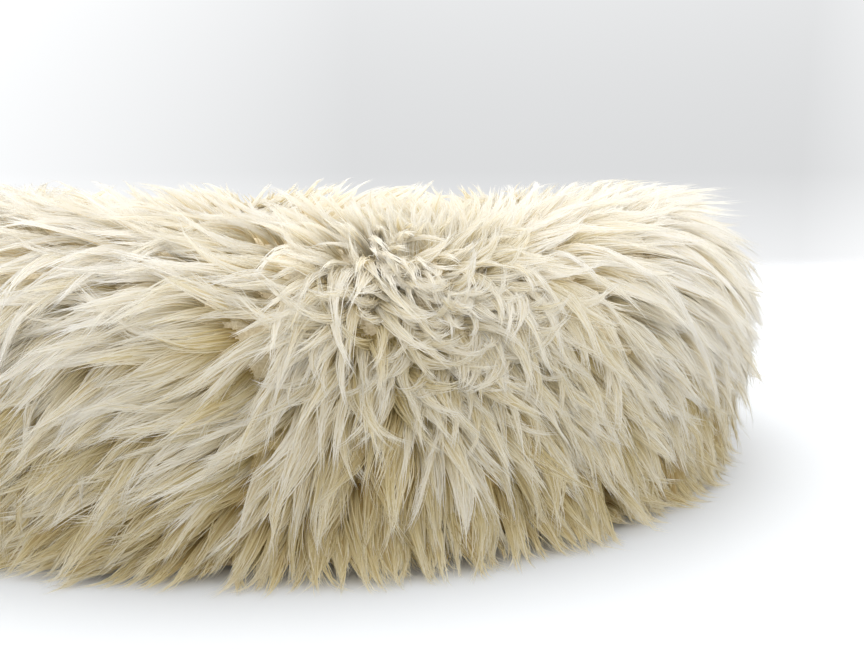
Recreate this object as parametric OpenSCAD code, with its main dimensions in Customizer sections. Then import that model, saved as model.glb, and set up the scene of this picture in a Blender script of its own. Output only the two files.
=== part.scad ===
// Round sheepskin pet bed: a bolster ring on a canvas base, with a loose lift-out cushion.
// Millimetres, +Z up, origin on the floor under the middle of the bed. The front faces -Y.

/* [Bed] */
// Radius of the bed over the combed wool
bed_r = 395; // [370:1:420]
// Height of the ring over the combed wool
bed_h = 215; // [205:1:235]
// Width of the bolster ring over the wool on both sides
ring_w = 190; // [180:1:196]
// Depth of the combed wool that stands off the hide
pile_t = 33; // [24:1:36]
// Thickness of the tanned hide
hide_t = 2.5; // [1.5:0.5:3]

/* [Base] */
// Height of the silicone pads
pad_h = 2; // [1.5:0.5:3]
// Radius of each small silicone pad
pad_r = 12; // [8:1:16]
// Radius of the centre pad
centre_pad_r = 30; // [20:1:40]
// Thickness of the canvas
canvas_t = 1.6; // [1:0.1:2]
// Thickness of the foam board under the cushion
board_t = 30; // [20:1:34]
// Radius of the piping round the base
welt_r = 3; // [2:0.5:3.5]
// Height of the top edge of the canvas band
band_top = 30; // [28:1:32]

/* [Cushion] */
// Thickness of the cushion's filled liner
cushion_core_t = 60; // [45:1:70]
// Depth of the wool on the cushion
cushion_pile_t = 25; // [18:1:28]
// Play between the cushion and the wool of the ring
cushion_play = 1.5; // [1:0.5:3]

/* [Zip] */
// Angle that the zip runs along the rear of the base
zip_sweep = 80; // [60:1:80]
// Height of the line where the two coils meet
zip_z = 16; // [15:0.5:17]
// Length of the slider along the zip
slider_l = 10.5; // [9:0.5:12]
// Length of the pull tab
pull_l = 27; // [20:1:30]

/* [Hidden] */

$fn = 96;
gap = 0.3;                  // air left between neighbouring pieces
seam_deg = 0.1;             // angle left open at each seam between two hides
cotton_t = 1.2;             // inner liners
front_az = 270;             // the angle of the bed's front, about +Z from +X
rear_az = 90;

// Ring: its section is a round top over straight sides, with small rounded corners at the floor.
ring_r = bed_r - ring_w / 2;                     // radius of the ring's own centre line
wool_top_r = ring_w / 2;                         // rounding of the wool over the crest
wool_foot_r = 60;                                // rounding of the wool at the floor
skin_t = pile_t + hide_t;
core_w = ring_w - 2 * skin_t;                    // bolster inside its hide
core_top = bed_h - skin_t;
core_foot_r = 50;

// Base, from the floor up
base_z = pad_h;
base_top = base_z + canvas_t;
band_r = ring_r + core_w / 2 - 3.4;              // inside face of the canvas band
band_t = canvas_t;
base_r = band_r + band_t - gap;
welt_mid = base_r + gap * 2 + welt_r;
core_z = base_top + 2 * gap;                     // underside of the bolster
wool_z = base_z + 2 * welt_r + 3 * gap;          // lower edge of the combed wool
rear_wool_z = band_top + 6;                      // clipped higher above the zip
floor_r = ring_r - core_w / 2 - gap;
board_r = floor_r - 4;
floor_z = base_top + gap + board_t + gap;
floor_top = floor_z + canvas_t;

// Cushion: it fills the well of the ring
well_r = ring_r - ring_w / 2;
cushion_r = well_r - cushion_play;
cushion_z = floor_top + gap;
cushion_skin = cushion_pile_t + hide_t;
cushion_core_z = cushion_z + 2 * canvas_t + 2 * gap;
cushion_h = cushion_core_z + cushion_core_t + cushion_skin;
cushion_round = cushion_core_t / 2;              // rounding of the filled liner's edge
cushion_seam_z = cushion_core_z + cushion_round - 8;
cushion_welt_r = 2.5;
cushion_welt_mid = cushion_r - cushion_skin + cushion_welt_r + gap;
cushion_welt_z = cushion_seam_z - cushion_welt_r + 0.5;
flap_lap = 45;                                   // how far each base flap reaches past the middle

// Zip
zip_start = rear_az - zip_sweep / 2;
tape_t = 0.6;
tape_r = band_r - tape_t - 0.2;                  // inside face of the tapes
coil_d = 2.2;                                    // depth and width of one coil
coil_r = tape_r + tape_t + 0.1;
coil_gap = 1.4;                                  // free line between the coils, for the slider's post
facing_gap = 9;                                  // height left open between the two facings
stop_l = 3;
wing_t = 1.4;
wing_air = 0.6;
front_wing_r = coil_r + coil_d + wing_air;
back_wing_r = tape_r - wing_air - wing_t;
slider_w = 8;
post_t = 0.7;
slider_end = 3.2;                                // from a stop to the near end of the slider
slider_az = zip_start + arc_deg(stop_l + slider_end + slider_l / 2);
pivot_r = front_wing_r + wing_t + 1.1;           // axis of the pull in the slider's bail
bail_w = 2.2;
bail_out = 2.7;
bail_in = 1.5;
pin_r = 0.75;
pull_w = 7;
pull_t = 1.4;
arm_w = 1;

function arc_deg(length) = length / band_r * 180 / PI;

/* ---- shared outlines ---- */

// Section of the ring, radius across and height up, grown by g all round.
module core_section(g = 0) {
    top_r = core_w / 2;
    translate([ring_r, core_top - top_r]) circle(r = top_r + g);
    translate([ring_r - top_r - g, core_z + core_foot_r])
        square([core_w + 2 * g, core_top - top_r - core_z - core_foot_r]);
    for (side = [-1, 1])
        translate([ring_r + side * (top_r - core_foot_r), core_z + core_foot_r])
            circle(r = core_foot_r + g);
    translate([ring_r - top_r + core_foot_r, core_z - g])
        square([core_w - 2 * core_foot_r, core_foot_r + g]);
}

// Section of the wool that covers the outside of the ring, from the crest to the floor.
module outer_wool_section() {
    intersection() {
        union() {
            translate([ring_r, bed_h - wool_top_r]) circle(r = wool_top_r);
            translate([ring_r, wool_foot_r])
                square([wool_top_r, bed_h - wool_top_r - wool_foot_r]);
            translate([bed_r - wool_foot_r, wool_foot_r]) circle(r = wool_foot_r);
            translate([ring_r, 0]) square([bed_r - wool_foot_r - ring_r, wool_foot_r]);
        }
        translate([ring_r + gap / 2, 0]) square([ring_w, bed_h + 1]);
    }
}

// Section of the hide and wool outside the filled core, kept above the height low.
module outer_skin_section(low) {
    difference() {
        outer_wool_section();
        core_section(gap);
        square([band_r + band_t + 2 * gap, band_top + gap]);
        square([bed_r + 1, low]);
    }
}

module inner_skin_section() {
    difference() {
        intersection() {
            union() {
                translate([ring_r, bed_h - wool_top_r]) circle(r = wool_top_r);
                translate([well_r, floor_top + gap])
                    square([wool_top_r, bed_h - wool_top_r - floor_top - gap]);
            }
            translate([well_r - 1, floor_top + gap]) square([ring_w / 2 + 1 - gap / 2, bed_h]);
        }
        core_section(gap);
    }
}

// A section turned about the bed's axis, over sweep degrees centred on az.
module sector(az, sweep) {
    rotate([0, 0, az - sweep / 2]) rotate_extrude(angle = sweep) children();
}

module disc(radius, low, thick) {
    translate([0, 0, low]) cylinder(r = radius, h = thick);
}

module band_sector(az, sweep, inside, thick, low, high) {
    sector(az, sweep) translate([inside, low]) square([thick, high - low]);
}

/* ---- base ---- */

module non_slip_pads() {
    color("gainsboro") {
        cylinder(r = centre_pad_r, h = pad_h);
        for (row = [[100, 6], [190, 10], [312, 18]])
            for (i = [0 : row[1] - 1])
                rotate([0, 0, (i + 0.5) * 360 / row[1]])
                    translate([row[0], 0, 0]) cylinder(r = pad_r, h = pad_h);
    }
}

module base_panel() {
    color("burlywood") disc(base_r, base_z, canvas_t);
}

module base_welt_cord() {
    color("ivory")
        rotate_extrude() translate([welt_mid, base_z + welt_r + gap]) circle(r = welt_r - 1, $fn = 32);
}

module base_welt_sleeve() {
    color("tan")
        rotate_extrude() translate([welt_mid, base_z + welt_r + gap])
            difference() {
                circle(r = welt_r, $fn = 32);
                circle(r = welt_r - 0.9, $fn = 32);
            }
}

module base_foam() {
    color("lightyellow") disc(board_r, base_top + gap, board_t);
}

module floor_panel() {
    color("burlywood") disc(floor_r, floor_z, canvas_t);
}

module base_band() {
    color("burlywood")
        band_sector(front_az, 270 - seam_deg, band_r, band_t, base_top + gap, band_top);
}

/* ---- zip along the rear of the base ---- */

module zip_facing_lower() {
    color("burlywood")
        band_sector(rear_az, 90 - seam_deg, band_r, band_t, base_top + gap, zip_z - facing_gap / 2);
}

module zip_facing_upper() {
    color("burlywood")
        band_sector(rear_az, 90 - seam_deg, band_r, band_t, zip_z + facing_gap / 2, band_top);
}

module zip_tape_lower() {
    color("wheat")
        band_sector(rear_az, zip_sweep, tape_r, tape_t, base_top + 2, zip_z - coil_gap / 2);
}

module zip_tape_upper() {
    color("wheat")
        band_sector(rear_az, zip_sweep, tape_r, tape_t, zip_z + coil_gap / 2, band_top - 2);
}

// One coil, as the smooth outside of its turns
module coil(low) {
    sector(rear_az, zip_sweep - 2 * arc_deg(stop_l + gap))
        translate([coil_r + coil_d / 2, low + coil_d / 2]) circle(d = coil_d, $fn = 24);
}

module zip_coil_lower() {
    color("cornsilk") coil(zip_z - coil_gap / 2 - coil_d);
}

module zip_coil_upper() {
    color("cornsilk") coil(zip_z + coil_gap / 2);
}

// A crimped stop that holds both tapes together at one end of the coils
module zip_stop(az) {
    half = coil_gap / 2 + coil_d;
    band_sector(az, arc_deg(stop_l), coil_r, coil_d, zip_z - half, zip_z + half);
}

module zip_stop_start() {
    color("darkgoldenrod") zip_stop(zip_start + arc_deg(stop_l / 2));
}

module zip_stop_end() {
    color("darkgoldenrod") zip_stop(zip_start + zip_sweep - arc_deg(stop_l / 2));
}

module zip_slider() {
    sweep = arc_deg(slider_l);
    color("darkgoldenrod") {
        for (inside = [back_wing_r, front_wing_r])
            band_sector(slider_az, sweep, inside, wing_t, zip_z - slider_w / 2, zip_z + slider_w / 2);
        // post that parts the coils, at the leading end
        band_sector(slider_az - sweep / 2 + arc_deg(1), arc_deg(2), back_wing_r,
            front_wing_r + wing_t - back_wing_r, zip_z - post_t / 2, zip_z + post_t / 2);
        // lips turned in over the edges of the coils
        for (side = [-1, 1])
            band_sector(slider_az, sweep, coil_r + 0.9, front_wing_r - coil_r,
                zip_z + side * (slider_w / 2 - 0.35) - 0.35, zip_z + side * (slider_w / 2 - 0.35) + 0.35);
        // bail that holds the pull's bar
        rotate([0, 0, slider_az]) translate([pivot_r, 0, zip_z - bail_w / 2])
            difference() {
                union() {
                    cylinder(r = bail_out, h = bail_w);
                    translate([-1.6, -bail_out, 0]) cube([1.6, 2 * bail_out, bail_w]);
                }
                translate([0, 0, -1]) cylinder(r = bail_in, h = bail_w + 2);
                translate([-1.1 - wing_t - 3, -5, -1]) cube([3 + 0.1, 10, bail_w + 2]);
            }
    }
}

// The pull lies back along the zip at rest, and swings about its own bar.
module zip_pull() {
    half = pull_w / 2;
    color("goldenrod")
        rotate([0, 0, slider_az]) translate([pivot_r, 0, zip_z]) {
            translate([0, 0, -half]) cylinder(r = pin_r, h = pull_w);
            for (side = [-1, 1])
                translate([-pull_t / 2, -7, side * (half - arm_w / 2) - arm_w / 2])
                    cube([pull_t, 7 + pin_r, arm_w]);
            difference() {
                translate([-pull_t / 2, -pull_l, -half]) cube([pull_t, pull_l - 5.5, pull_w]);
                translate([-pull_t, -pull_l + 4.5, 0]) rotate([0, 90, 0]) cylinder(r = 1.8, h = 2 * pull_t);
            }
        }
}

module care_label() {
    color("ivory")
        band_sector(zip_start + zip_sweep + 2.4, arc_deg(24), band_r + band_t + gap / 2, 0.5,
            base_top + 7, band_top - 1);
}

/* ---- ring ---- */

module ring_liner() {
    color("white")
        rotate_extrude() difference() {
            core_section();
            core_section(-cotton_t);
        }
}

module ring_fill() {
    color("whitesmoke") rotate_extrude() core_section(-cotton_t - gap);
}

// Cotton tape that takes the pull of the crest seam, in the hollow between liner and hides
module crest_stay_tape() {
    color("linen")
        rotate_extrude() translate([ring_r - 6, core_top + gap]) square([12, 1]);
}

module hide_sector(az) {
    difference() {
        sector(az, 90 - seam_deg) children();
        // room for the stay tape
        rotate_extrude() translate([ring_r - 6 - gap, core_top - 1]) square([12 + 2 * gap, 2.6]);
    }
}

module ring_outer_panel_front() {
    color("antiquewhite") hide_sector(front_az) outer_skin_section(wool_z);
}

module ring_outer_panel_right() {
    color("linen") hide_sector(0) outer_skin_section(wool_z);
}

module ring_outer_panel_rear() {
    color("antiquewhite") hide_sector(rear_az) outer_skin_section(rear_wool_z);
}

module ring_outer_panel_left() {
    color("linen") hide_sector(180) outer_skin_section(wool_z);
}

module ring_inner_panel_front() {
    color("oldlace") hide_sector(front_az) inner_skin_section();
}

module ring_inner_panel_right() {
    color("floralwhite") hide_sector(0) inner_skin_section();
}

module ring_inner_panel_rear() {
    color("oldlace") hide_sector(rear_az) inner_skin_section();
}

module ring_inner_panel_left() {
    color("floralwhite") hide_sector(180) inner_skin_section();
}

/* ---- cushion ---- */

// Half section of the filled liner, grown by g
module cushion_core_section(g = 0) {
    edge = cushion_r - cushion_skin - cushion_round;
    translate([0, cushion_core_z - g]) square([edge, cushion_core_t + 2 * g]);
    translate([edge, cushion_core_z + cushion_round])
        intersection() {
            circle(r = cushion_round + g);
            translate([-edge, -bed_h]) square([bed_r, 2 * bed_h]);
        }
}

module cushion_top_panel() {
    wool_round = cushion_round + cushion_pile_t / 2;
    color("cornsilk")
        rotate_extrude() difference() {
            union() {
                translate([0, cushion_seam_z]) square([cushion_r - wool_round, cushion_h - cushion_seam_z]);
                translate([0, cushion_seam_z])
                    square([cushion_r, cushion_h - wool_round - cushion_seam_z]);
                translate([cushion_r - wool_round, cushion_h - wool_round])
                    intersection() {
                        circle(r = wool_round);
                        square(wool_round);
                    }
            }
            cushion_core_section(gap);
            // channel for the piping
            translate([cushion_welt_mid - cushion_welt_r - 1.3, cushion_seam_z - 1])
                square([2 * cushion_welt_r + 2, 4]);
        }
}

// The base is two canvas pieces that overlap, so the liner slips out between them.
module flap(inside, side) {
    top = cushion_welt_z - cushion_welt_r - gap;
    intersection() {
        rotate_extrude() intersection() {
            difference() {
                cushion_core_section(inside + canvas_t);
                cushion_core_section(inside);
            }
            square([bed_r, top]);
        }
        translate([-bed_r, side > 0 ? -flap_lap : -bed_r, 0]) cube([2 * bed_r, bed_r + flap_lap, bed_h]);
    }
}

module cushion_base_flap_long() {
    color("burlywood") flap(2 * gap + canvas_t, -1);
}

module cushion_base_flap_short() {
    color("burlywood") flap(gap, 1);
}

module cushion_welt_cord() {
    color("ivory")
        rotate_extrude() translate([cushion_welt_mid, cushion_welt_z])
            circle(r = cushion_welt_r - 0.8, $fn = 24);
}

module cushion_welt_sleeve() {
    color("tan")
        rotate_extrude() translate([cushion_welt_mid, cushion_welt_z])
            difference() {
                circle(r = cushion_welt_r, $fn = 24);
                circle(r = cushion_welt_r - 0.7, $fn = 24);
            }
}

module cushion_liner() {
    color("white")
        rotate_extrude() difference() {
            cushion_core_section();
            cushion_core_section(-cotton_t);
        }
}

module cushion_fill() {
    color("whitesmoke") rotate_extrude() cushion_core_section(-cotton_t - gap);
}

non_slip_pads();
base_panel();
base_welt_cord();
base_welt_sleeve();
base_foam();
floor_panel();
base_band();
zip_facing_lower();
zip_facing_upper();
zip_tape_lower();
zip_tape_upper();
zip_coil_lower();
zip_coil_upper();
zip_stop_start();
zip_stop_end();
zip_slider();
zip_pull();
care_label();
ring_liner();
ring_fill();
crest_stay_tape();
ring_outer_panel_front();
ring_outer_panel_right();
ring_outer_panel_rear();
ring_outer_panel_left();
ring_inner_panel_front();
ring_inner_panel_right();
ring_inner_panel_rear();
ring_inner_panel_left();
cushion_top_panel();
cushion_base_flap_long();
cushion_base_flap_short();
cushion_welt_cord();
cushion_welt_sleeve();
cushion_liner();
cushion_fill();
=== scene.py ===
import math

import bpy
import numpy as np
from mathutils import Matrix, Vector
from mathutils.bvhtree import BVHTree


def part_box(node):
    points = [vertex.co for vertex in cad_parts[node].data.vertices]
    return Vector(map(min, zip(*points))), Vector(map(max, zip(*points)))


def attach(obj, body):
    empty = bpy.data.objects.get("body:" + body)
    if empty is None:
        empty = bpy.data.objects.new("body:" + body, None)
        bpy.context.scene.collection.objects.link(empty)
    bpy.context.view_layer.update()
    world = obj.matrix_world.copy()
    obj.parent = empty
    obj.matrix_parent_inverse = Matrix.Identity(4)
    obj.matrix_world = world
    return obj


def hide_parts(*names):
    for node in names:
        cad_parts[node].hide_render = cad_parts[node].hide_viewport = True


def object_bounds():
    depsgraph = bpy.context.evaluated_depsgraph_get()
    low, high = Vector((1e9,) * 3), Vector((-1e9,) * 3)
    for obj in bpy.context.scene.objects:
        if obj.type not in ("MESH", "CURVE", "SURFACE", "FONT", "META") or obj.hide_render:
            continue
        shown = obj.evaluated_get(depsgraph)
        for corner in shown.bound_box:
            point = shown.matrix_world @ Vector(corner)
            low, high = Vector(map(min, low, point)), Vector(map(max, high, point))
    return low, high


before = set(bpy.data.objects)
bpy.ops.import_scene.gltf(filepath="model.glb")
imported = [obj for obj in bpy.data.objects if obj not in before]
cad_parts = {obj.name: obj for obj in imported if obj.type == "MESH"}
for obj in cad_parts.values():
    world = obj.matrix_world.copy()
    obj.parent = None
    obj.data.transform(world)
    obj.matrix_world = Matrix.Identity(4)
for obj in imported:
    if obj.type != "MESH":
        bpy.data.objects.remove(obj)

# Everything below is in metres, in the row frame: +Z up, the bed's front towards -Y.
cad_low, cad_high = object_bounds()
MM = 0.001
TAU = 2 * math.pi

# ---------------------------------------------------------------- sizes, from the frame
bed_r, bed_h = cad_high.x, cad_high.z
core_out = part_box("ring_liner")[1].x                      # outside of the filled bolster
core_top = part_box("ring_liner")[1].z
floor_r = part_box("floor_panel")[1].x
floor_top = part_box("floor_panel")[1].z
band_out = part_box("zip_facing_upper")[1].y
zip_sweep = 80                                            # degrees of the rear that the zip spans
ring_r = (core_out + floor_r) / 2                         # the bolster's own centre line
skin = 3 * MM                                             # hide, outside the liner
tube_r = core_out - ring_r + skin                         # hide's rounding over the crest
tube_z = core_top + skin - tube_r
hem_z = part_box("ring_outer_panel_front")[0].z             # lower edge of the hides
rear_hem_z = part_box("zip_facing_upper")[1].z - 1 * MM      # the hide comes down to the zip's upper facing
cushion_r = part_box("cushion_top_panel")[1].x
cushion_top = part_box("cushion_fill")[1].z + 4 * MM
cushion_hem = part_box("cushion_top_panel")[0].z
cushion_core_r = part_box("cushion_liner")[1].x

# ---------------------------------------------------------------- the camera
BED_FROM_CAMERA = 0.975
CAMERA_HEIGHT = 0.235
LENS = 44.2
CAMERA_TURN = math.radians(7.1)                           # to the right of the bed's middle
CAMERA_TILT = math.radians(8.2)


def make_camera():
    data = bpy.data.cameras.new("camera")
    data.lens = LENS
    data.sensor_width = 36
    data.clip_start = 0.01
    camera = bpy.data.objects.new("camera", data)
    bpy.context.scene.collection.objects.link(camera)
    camera.location = (0, -BED_FROM_CAMERA, CAMERA_HEIGHT)
    camera.rotation_euler = (math.pi / 2 - CAMERA_TILT, 0, -CAMERA_TURN)
    bpy.context.scene.camera = camera


# ---------------------------------------------------------------- smooth noise
def ripple(points, wavelength, seed):
    """Smooth noise in space, about -1 to 1."""
    rng = np.random.default_rng(seed)
    total = np.zeros(points.shape[:-1])
    waves = 7
    for _ in range(waves):
        way = rng.normal(size=3)
        way /= np.linalg.norm(way)
        total += np.sin(points @ way * TAU / (wavelength * rng.uniform(0.7, 1.5)) + rng.uniform(0, TAU))
    return total / math.sqrt(waves)


# ---------------------------------------------------------------- the hide's surface
class Outline:
    """A line in the plane of radius and height, measured by its length s, with its outer normal."""

    def __init__(self, points, zero):
        points = np.array(points)
        steps = np.linalg.norm(np.diff(points, axis=0), axis=1)
        self.s = np.concatenate([[0], np.cumsum(steps)]) - zero
        self.r, self.z = points.T
        along = np.gradient(points, axis=0)
        along /= np.linalg.norm(along, axis=1)[:, None]
        self.nr, self.nz = -along[:, 1], along[:, 0]

    def at(self, s):
        read = [np.interp(s, self.s, line) for line in (self.r, self.z, self.nr, self.nz)]
        size = np.hypot(read[2], read[3])
        return read[0], read[1], read[2] / size, read[3] / size


def arc(centre, radius, start, end, count=24):
    turn = np.radians(np.linspace(start, end, count))
    return [(centre[0] + radius * math.cos(a), centre[1] + radius * math.sin(a)) for a in turn]


def line(start, end, count=12):
    return [tuple(p) for p in np.linspace(start, end, count)]


well_z = floor_top + 1 * MM
inner_part = line((ring_r - tube_r, well_z), (ring_r - tube_r, tube_z))
inner_part += arc((ring_r, tube_z), tube_r, 178, 90)
outer_part = arc((ring_r, tube_z), tube_r, 88, 0)
outer_part += line((ring_r + tube_r, tube_z - 4 * MM), (ring_r + tube_r, 45 * MM))
outer_part += line((ring_r + tube_r - 0.3 * MM, 42 * MM), (ring_r + tube_r - 2.5 * MM, 0.5 * MM))
inner_length = np.linalg.norm(np.diff(np.array(inner_part), axis=0), axis=1).sum()
ring_outline = Outline(inner_part + outer_part, inner_length)
outer_length = ring_outline.s[-1]

dome = 5 * MM
edge_r = 34 * MM
flat_r = cushion_core_r + skin - edge_r
cushion_top_part = [(r, cushion_top + dome * (1 - (r / flat_r) ** 2)) for r in np.linspace(0, flat_r, 24)]
cushion_outline = Outline(cushion_top_part + arc((flat_r, cushion_top - edge_r), edge_r, 82, -30, 16), 0)


def ring_place(q):
    """Place, normal and the two tangents of the ring at q = (angle, s)."""
    r, z, nr, nz = ring_outline.at(q[..., 1])
    c, s = np.cos(q[..., 0]), np.sin(q[..., 0])
    zero = np.zeros_like(r)
    place = np.stack([r * c, r * s, z], -1)
    normal = np.stack([nr * c, nr * s, nz], -1)
    round_way = np.stack([-s, c, zero], -1)
    down_way = np.stack([nz * c, nz * s, -nr], -1)
    return place, normal, round_way, down_way


def ring_step(q, round_by, down_by):
    r = ring_outline.at(q[..., 1])[0]
    return np.stack([q[..., 0] + round_by / r, q[..., 1] + down_by], -1)


def cushion_place(q):
    """The same for the cushion, at q = (x, y) laid flat from its middle."""
    s = np.maximum(np.hypot(q[..., 0], q[..., 1]), 1e-6)
    r, z, nr, nz = cushion_outline.at(s)
    c, n = q[..., 0] / s, q[..., 1] / s
    zero = np.zeros_like(r)
    place = np.stack([r * c, r * n, z], -1)
    normal = np.stack([nr * c, nr * n, nz], -1)
    out_way = np.stack([nz * c, nz * n, -nr], -1)
    side_way = np.stack([-n, c, zero], -1)
    x_way = out_way * c[..., None] - side_way * n[..., None]
    y_way = out_way * n[..., None] + side_way * c[..., None]
    return place, normal, x_way, y_way


def cushion_step(q, x_by, y_by):
    return q + np.stack([x_by, y_by], -1)


# ---------------------------------------------------------------- meshes
def link(name, mesh):
    piece = bpy.data.objects.new(name, mesh)
    bpy.context.scene.collection.objects.link(piece)
    return piece


def mesh_from(name, points, loops, sizes, uvs=None, attributes=None):
    mesh = bpy.data.meshes.new(name)
    mesh.vertices.add(len(points))
    mesh.vertices.foreach_set("co", points.astype(np.float32).ravel())
    mesh.loops.add(len(loops))
    mesh.loops.foreach_set("vertex_index", loops.astype(np.int32))
    mesh.polygons.add(len(sizes))
    starts = np.concatenate([[0], np.cumsum(sizes)[:-1]])
    mesh.polygons.foreach_set("loop_start", starts.astype(np.int32))
    mesh.update(calc_edges=True)
    mesh.polygons.foreach_set("use_smooth", np.ones(len(sizes), bool))
    if uvs is not None:
        layer = mesh.uv_layers.new(name="OFBake")
        layer.data.foreach_set("uv", uvs.astype(np.float32).ravel())
    for key, values in (attributes or {}).items():
        flat = values.ndim == 1
        made = mesh.attributes.new(key, "FLOAT" if flat else "FLOAT_VECTOR", "POINT")
        made.data.foreach_set("value" if flat else "vector", values.astype(np.float32).ravel())
    mesh.validate()
    return mesh


def add_piece(name, mesh, material, body, replaced=None):
    """A new visible piece: it rides on a body, and can take the place of a CAD node."""
    mesh.materials.append(material)
    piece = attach(link(name, mesh), body)
    if replaced:
        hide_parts(replaced)
    return piece


def unit(vectors):
    return vectors / np.linalg.norm(vectors, axis=-1)[..., None]


def polar(r, angle, z):
    return np.stack([r * np.cos(angle), r * np.sin(angle), z], -1)


def turned(way, turn):
    """Flat vectors (n, 2), turned by the angles turn."""
    c, s = np.cos(turn), np.sin(turn)
    return np.stack([way[:, 0] * c - way[:, 1] * s, way[:, 0] * s + way[:, 1] * c], -1)


def tube_template(rings, sides):
    """Loops, polygon sizes and UVs of one tapered tube with a pointed tip."""
    loops, sizes, uvs = [], [], []
    for i in range(rings - 1):
        for k in range(sides):
            n = (k + 1) % sides
            loops += [i * sides + k, (i + 1) * sides + k, (i + 1) * sides + n, i * sides + n]
            uvs += [(k, i), (k, i + 1), (k + 1, i + 1), (k + 1, i)]
            sizes.append(4)
    for k in range(sides):
        n = (k + 1) % sides
        loops += [(rings - 1) * sides + k, rings * sides, (rings - 1) * sides + n]
        uvs += [(k, rings - 1), (k + 0.5, rings), (k + 1, rings - 1)]
        sizes.append(3)
    loops += list(range(sides))
    uvs += [(k, 0) for k in range(sides)]
    sizes.append(sides)
    return np.array(loops), np.array(sizes), np.array(uvs, float) / (sides, rings)


def capped_tube(rings, sides):
    """Loops and polygon sizes of a tube with flat ends."""
    loops = []
    for i in range(rings - 1):
        for k in range(sides):
            n = (k + 1) % sides
            loops += [i * sides + k, i * sides + n, (i + 1) * sides + n, (i + 1) * sides + k]
    loops += list(range(sides))[::-1] + [(rings - 1) * sides + k for k in range(sides)]
    return np.array(loops), np.array([4] * (rings - 1) * sides + [sides] * 2)


def tubes(centre, across, out, facing, sides, streaks, rim, cell, cells, tone, offset):
    """Tapered tubes. centre is (n, rings + 1, 3), tips last; across and out are each ring's half axes.
    streaks is how many fine lines lie across and along each tube."""
    n, rings = across.shape[:2]
    turn = np.arange(sides) * TAU / sides
    c, s = np.cos(turn), np.sin(turn)
    ring = centre[:, :-1, None] + across[:, :, None] * c[:, None] + out[:, :, None] * s[:, None]
    points = np.concatenate([ring.reshape(n, rings * sides, 3), centre[:, -1:]], 1)
    loops, sizes, uvs = tube_template(rings, sides)
    per = rings * sides + 1
    corner = np.stack([cell % cells, cell // cells], -1)[:, None]
    along = np.append(np.repeat(np.arange(rings) / rings, sides), 1)
    # the painted shade in the tone is lifted towards the tips, so the tips are pale wherever the lock grows
    every, rise = np.repeat(tone, per), np.tile(along, n) ** 2 * (0.35 if rim else 0.8)
    lay = np.concatenate([np.repeat(facing[:, :-1], sides, axis=1), facing[:, -1:]], 1)
    lines = [np.append(np.tile(c, rings), 0) * streaks[0], np.append(np.tile(s, rings), 0) * streaks[0] / 2]
    lines = np.stack([*lines, along * streaks[1]], -1)
    return {
        "points": points.reshape(-1, 3),
        "loops": (loops[None] + np.arange(n)[:, None] * per).ravel(),
        "sizes": np.tile(sizes, n),
        "uvs": ((corner + 0.04 + 0.92 * uvs[None]) / cells).reshape(-1, 2),
        "along": np.tile(along, n),
        "tone": np.clip(every + np.maximum(0.94 - every, 0.06) * rise, 0, 1),
        "streak": (lines[None] + offset[:, None]).reshape(-1, 3),
        "lay": lay.reshape(-1, 3),
        # rim: where a point lies across a lock's body, for the painted shade at its edges
        "rim": np.tile(np.append(np.tile(c * rim, rings), 0), n),
    }


def joined(sets):
    for each in sets:
        each["points"][:, 2] = np.clip(each["points"][:, 2], 0.2 * MM, bed_h + 14.5 * MM)
    first = np.cumsum([0] + [len(s["points"]) for s in sets[:-1]])
    loops = np.concatenate([s["loops"] + at for s, at in zip(sets, first)])
    every = {key: np.concatenate([s[key] for s in sets]) for key in sets[0] if key != "loops"}
    attributes = {key: every[key] for key in ("along", "tone", "rim", "streak", "lay")}
    return every["points"], loops, every["sizes"], every["uvs"], attributes


# ---------------------------------------------------------------- wool
GUIDE_RINGS = 12


def lean_curve(t, root_lean, body_lean, tip_lean):
    """The lock's angle from the hide's normal, along its length."""
    body = 1 - np.exp(-((t / 0.3) ** 1.6))
    tip = np.clip((t - 0.55) / 0.45, 0, 1) ** 1.5
    return root_lean * (1 - body) + body_lean * body + (tip_lean - body_lean) * tip


def lock_guides(place, step, q, way, length, lean, curl, tuft, rings):
    """The middle line of each lock, and its frame there: centre, across and out, each (n, rings + 1, 3)."""
    fine = 24
    t = np.linspace(0, 1, fine + 1)
    angle = lean_curve(t[None], lean[:, 0:1], lean[:, 1:2], lean[:, 2:3])
    none = np.zeros((len(q), 1))
    lay = np.concatenate([none, np.cumsum(np.sin(angle[:, 1:]), 1) / fine], 1) * length[:, None]
    rise = np.concatenate([none, np.cumsum(np.cos(angle[:, 1:]), 1) / fine], 1) * length[:, None]
    side = np.stack([-way[:, 1], way[:, 0]], -1)
    turn = (curl[:, None] * t[None] ** 1.3)[..., None]
    heading = way[:, None] * np.cos(turn) + side[:, None] * np.sin(turn)
    shift = np.cumsum(heading * np.diff(lay, axis=1, prepend=0)[..., None], 1)
    shift += t[None, :, None] ** 1.5 * tuft[:, None]
    at = step(np.repeat(q[:, None], fine + 1, 1), shift[..., 0], shift[..., 1])
    base, normal, _, _ = place(at)
    path = base + normal * rise[..., None]
    pick = np.round(np.linspace(0, fine, rings + 1)).astype(int)
    path, normal = path[:, pick], normal[:, pick]
    along = np.gradient(path, axis=1)
    along /= np.linalg.norm(along, axis=2)[..., None]
    across = np.cross(along, normal)
    across /= np.maximum(np.linalg.norm(across, axis=2), 1e-9)[..., None]
    out = np.cross(across, along)
    facing = normal + 0.35 * out
    return path, across, out, facing / np.linalg.norm(facing, axis=2)[..., None]


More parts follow.
